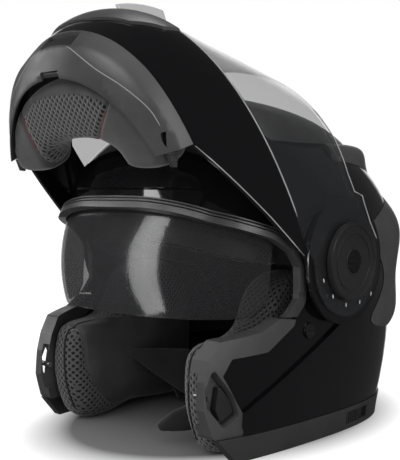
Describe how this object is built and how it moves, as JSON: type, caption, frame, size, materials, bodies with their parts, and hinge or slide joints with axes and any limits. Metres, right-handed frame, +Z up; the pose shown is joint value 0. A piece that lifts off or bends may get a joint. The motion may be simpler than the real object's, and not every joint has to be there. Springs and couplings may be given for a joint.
{
  "type": "modular motorcycle helmet",
  "caption": "Hard shell helmet whose chin bar and clear face shield swing up together about side pivots, with a smoked sun visor, padded lining, straps and vents.",
  "frame": {"origin": "centre of the opening, in the plane of the rim the helmet stands on, straight below the pivot axis of the chin bar", "axes": "+X to the wearer's left, along the pivot axis; the face looks along -Y; +Z up from the rim to the crown"},
  "size_m": [0.2572, 0.3227, 0.3163],
  "materials": {
    "gloss_shell": "gloss black paint under clear coat",
    "satin_trim": "satin dark grey",
    "rim_trim": "satin dark grey",
    "black_plastic": "moulded black",
    "red_plastic": "moulded red",
    "screw_steel": "satin",
    "steel": "satin",
    "rivet": "dark satin",
    "seal_rubber": "satin",
    "clear_shield": "clear, hard coated",
    "smoked_visor": "smoked",
    "foam": "moulded bead foam",
    "lining_fabric": "brushed knit",
    "plain_fabric": "suede-like knit",
    "mesh_fabric": "spacer mesh",
    "webbing": "woven webbing"
  },
  "bodies": {
    "helmet": {"base_trim": "rim_trim", "brow_trim": "black_plastic", "buckle_body": "black_plastic", "buckle_tongue": "black_plastic", "cheek_carrier_left": "foam", "cheek_carrier_right": "foam", "cheek_pad_left": "mesh_fabric", "cheek_pad_right": "mesh_fabric", "crown_lining": "lining_fabric", "crown_vent": "satin_trim", "eye_port_seal": "seal_rubber", "hinge_plate_left": "black_plastic", "hinge_plate_right": "black_plastic", "impact_foam": "foam", "jaw_trim_left": "satin_trim", "jaw_trim_right": "satin_trim", "latch_cover_left": "black_plastic", "latch_cover_right": "black_plastic", "latch_striker_left": "steel", "latch_striker_right": "steel", "neck_roll": "plain_fabric", "outer_shell": "gloss_shell", "pivot_cover_left": "black_plastic", "pivot_cover_right": "black_plastic", "pivot_screws": "screw_steel", "rear_spoiler": "satin_trim", "rear_vent": "black_plastic", "strap_left": "webbing", "strap_right": "webbing", "strap_rivets": "rivet", "strap_sleeve_left": "plain_fabric", "strap_sleeve_right": "plain_fabric", "visor_pivot_left": "black_plastic", "visor_pivot_right": "black_plastic"},
    "chin_bar": {"chin_bar_shell": "gloss_shell", "chin_lip": "satin_trim", "bar_top_trim": "satin_trim", "chin_bar_foam": "foam", "chin_pad": "mesh_fabric"},
    "vent_shutter": {"chin_vent_shutter": "black_plastic"},
    "release_button": {"release_button": "red_plastic"},
    "latch_hook_left": {"latch_hook_left": "steel"},
    "latch_hook_right": {"latch_hook_right": "steel"},
    "face_shield": {"face_shield": "clear_shield", "shield_tab": "clear_shield"},
    "sun_visor": {"sun_visor": "smoked_visor"},
    "crown_slider": {"crown_vent_slider": "black_plastic"},
    "visor_slider": {"visor_slider": "black_plastic"},
    "buckle_lever": {"buckle_lever": "red_plastic"}
  },
  "joints": [
    {"name": "chin_bar_hinge", "type": "hinge", "parent": "helmet", "child": "chin_bar", "pos_m": [0, 0, 0.132], "axis": [1, 0, 0], "range_deg": [0, 67]},
    {"name": "face_shield_hinge", "type": "hinge", "parent": "chin_bar", "child": "face_shield", "pos_m": [0, 0, 0.132], "axis": [1, 0, 0], "range_deg": [-43, 0]},
    {"name": "sun_visor_hinge", "type": "hinge", "parent": "helmet", "child": "sun_visor", "pos_m": [0, -0.014, 0.126], "axis": [1, 0, 0], "range_deg": [-36, 0]},
    {"name": "visor_slider_slide", "type": "slide", "parent": "helmet", "child": "visor_slider", "axis": [-0.1, 0.995, 0], "range_m": [0, 0.014]},
    {"name": "crown_slider_slide", "type": "slide", "parent": "helmet", "child": "crown_slider", "axis": [0, 1, 0], "range_m": [0, 0.009]},
    {"name": "vent_shutter_slide", "type": "slide", "parent": "chin_bar", "child": "vent_shutter", "axis": [0, 0.9205, 0.3907], "range_m": [0, 0.0036]},
    {"name": "release_button_slide", "type": "slide", "parent": "chin_bar", "child": "release_button", "axis": [0, 0.9205, 0.3907], "range_m": [0, 0.003], "stiffness_N_per_m": 600},
    {"name": "latch_hook_left_hinge", "type": "hinge", "parent": "chin_bar", "child": "latch_hook_left", "pos_m": [0.0819, -0.13297, 0.22004], "axis": [1, 0, 0], "range_deg": [0, 25]},
    {"name": "latch_hook_right_hinge", "type": "hinge", "parent": "chin_bar", "child": "latch_hook_right", "pos_m": [-0.0819, -0.13297, 0.22004], "axis": [1, 0, 0], "range_deg": [0, 25]},
    {"name": "buckle_lever_hinge", "type": "hinge", "parent": "helmet", "child": "buckle_lever", "pos_m": [-0.007, -0.011, 0.0135], "axis": [0, 1, 0], "range_deg": [-35, 0], "stiffness_Nm_per_rad": 0.2}
  ],
  "couplings": [
    {"joint": "visor_slider_slide", "follows": "sun_visor_hinge", "m_per_rad": -0.022282},
    {"joint": "latch_hook_right_hinge", "follows": "latch_hook_left_hinge", "ratio": 1}
  ]
}
